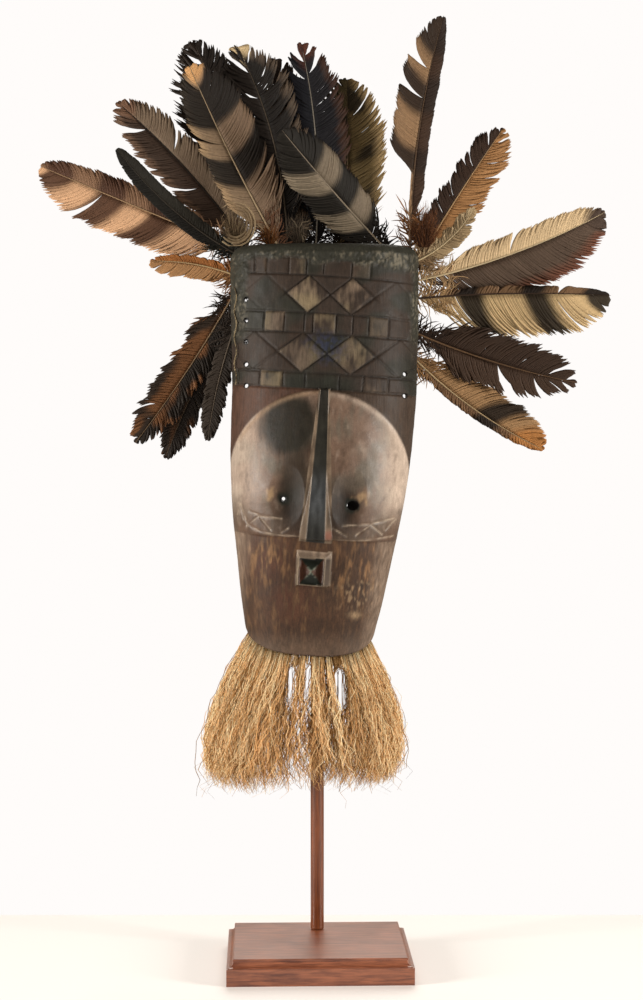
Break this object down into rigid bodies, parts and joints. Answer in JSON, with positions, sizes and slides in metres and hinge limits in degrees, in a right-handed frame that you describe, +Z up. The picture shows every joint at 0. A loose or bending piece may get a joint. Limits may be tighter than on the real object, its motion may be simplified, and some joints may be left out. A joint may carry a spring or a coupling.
{
  "type": "tetela mask on stand",
  "caption": "Carved wooden face mask, open at the back, with a feather crest and a raffia fringe, upright on a rod and a moulded base.",
  "frame": {"origin": "the middle of the base's underside", "axes": "+Z up, the mask's face looks along -Y, +X to the right as seen from the front; the base is turned 1.8 degrees about Z under the mask"},
  "size_m": [0.5762, 0.197, 0.9471],
  "materials": {
    "mask_wood": "carved, smoke-darkened, worn to a low sheen",
    "base_wood": "stained red-brown, satin varnish",
    "rod_wood": "turned, stained red-brown",
    "feather_pale": "barred feather vane, cream with brown bars",
    "feather_dark": "dark feather vane with brown edges",
    "feather_orange": "orange-brown feather vane",
    "down": "curled downy barbs",
    "raffia": "dry plant fibre, matt",
    "cord": "thin twisted plant fibre"
  },
  "bodies": {
    "root": {"stand_base": "base_wood", "stand_rod": "rod_wood", "mask_body": "mask_wood", "edge_lashing": "cord", "feather_left_pale": "feather_pale", "feather_left_narrow": "feather_dark", "feather_left_grey": "feather_pale", "feather_left_tall": "feather_pale", "feather_top_dark_left": "feather_dark", "feather_top_cream": "feather_dark", "feather_top_grey": "feather_pale", "feather_top_brown": "feather_dark", "feather_top_blue_black": "feather_dark", "feather_top_olive": "feather_dark", "feather_top_banded": "feather_pale", "feather_top_inner": "feather_dark", "feather_right_upright": "feather_pale", "feather_right_brown": "feather_pale", "feather_right_ribbon": "feather_pale", "feather_right_large": "feather_pale", "feather_right_barred": "feather_pale", "feather_right_dark": "feather_dark", "feather_right_low": "feather_pale", "feather_left_orange": "feather_orange", "feather_left_mottled": "feather_dark", "feather_left_mottled_back": "feather_dark", "feather_left_twisted": "feather_dark", "feather_left_low": "feather_dark", "down_tuft_left": "down", "down_tuft_small": "down", "down_tuft_middle": "down", "down_tuft_right": "down", "fringe_hank_01": "raffia", "fringe_hank_02": "raffia", "fringe_hank_03": "raffia", "fringe_hank_04": "raffia", "fringe_hank_05": "raffia", "fringe_hank_06": "raffia", "fringe_hank_07": "raffia", "fringe_hank_08": "raffia", "fringe_hank_09": "raffia", "fringe_hank_10": "raffia", "fringe_hank_11": "raffia", "fringe_hank_12": "raffia", "fringe_hank_13": "raffia", "fringe_hank_14": "raffia", "fringe_hank_15": "raffia"}
  },
  "joints": []
}
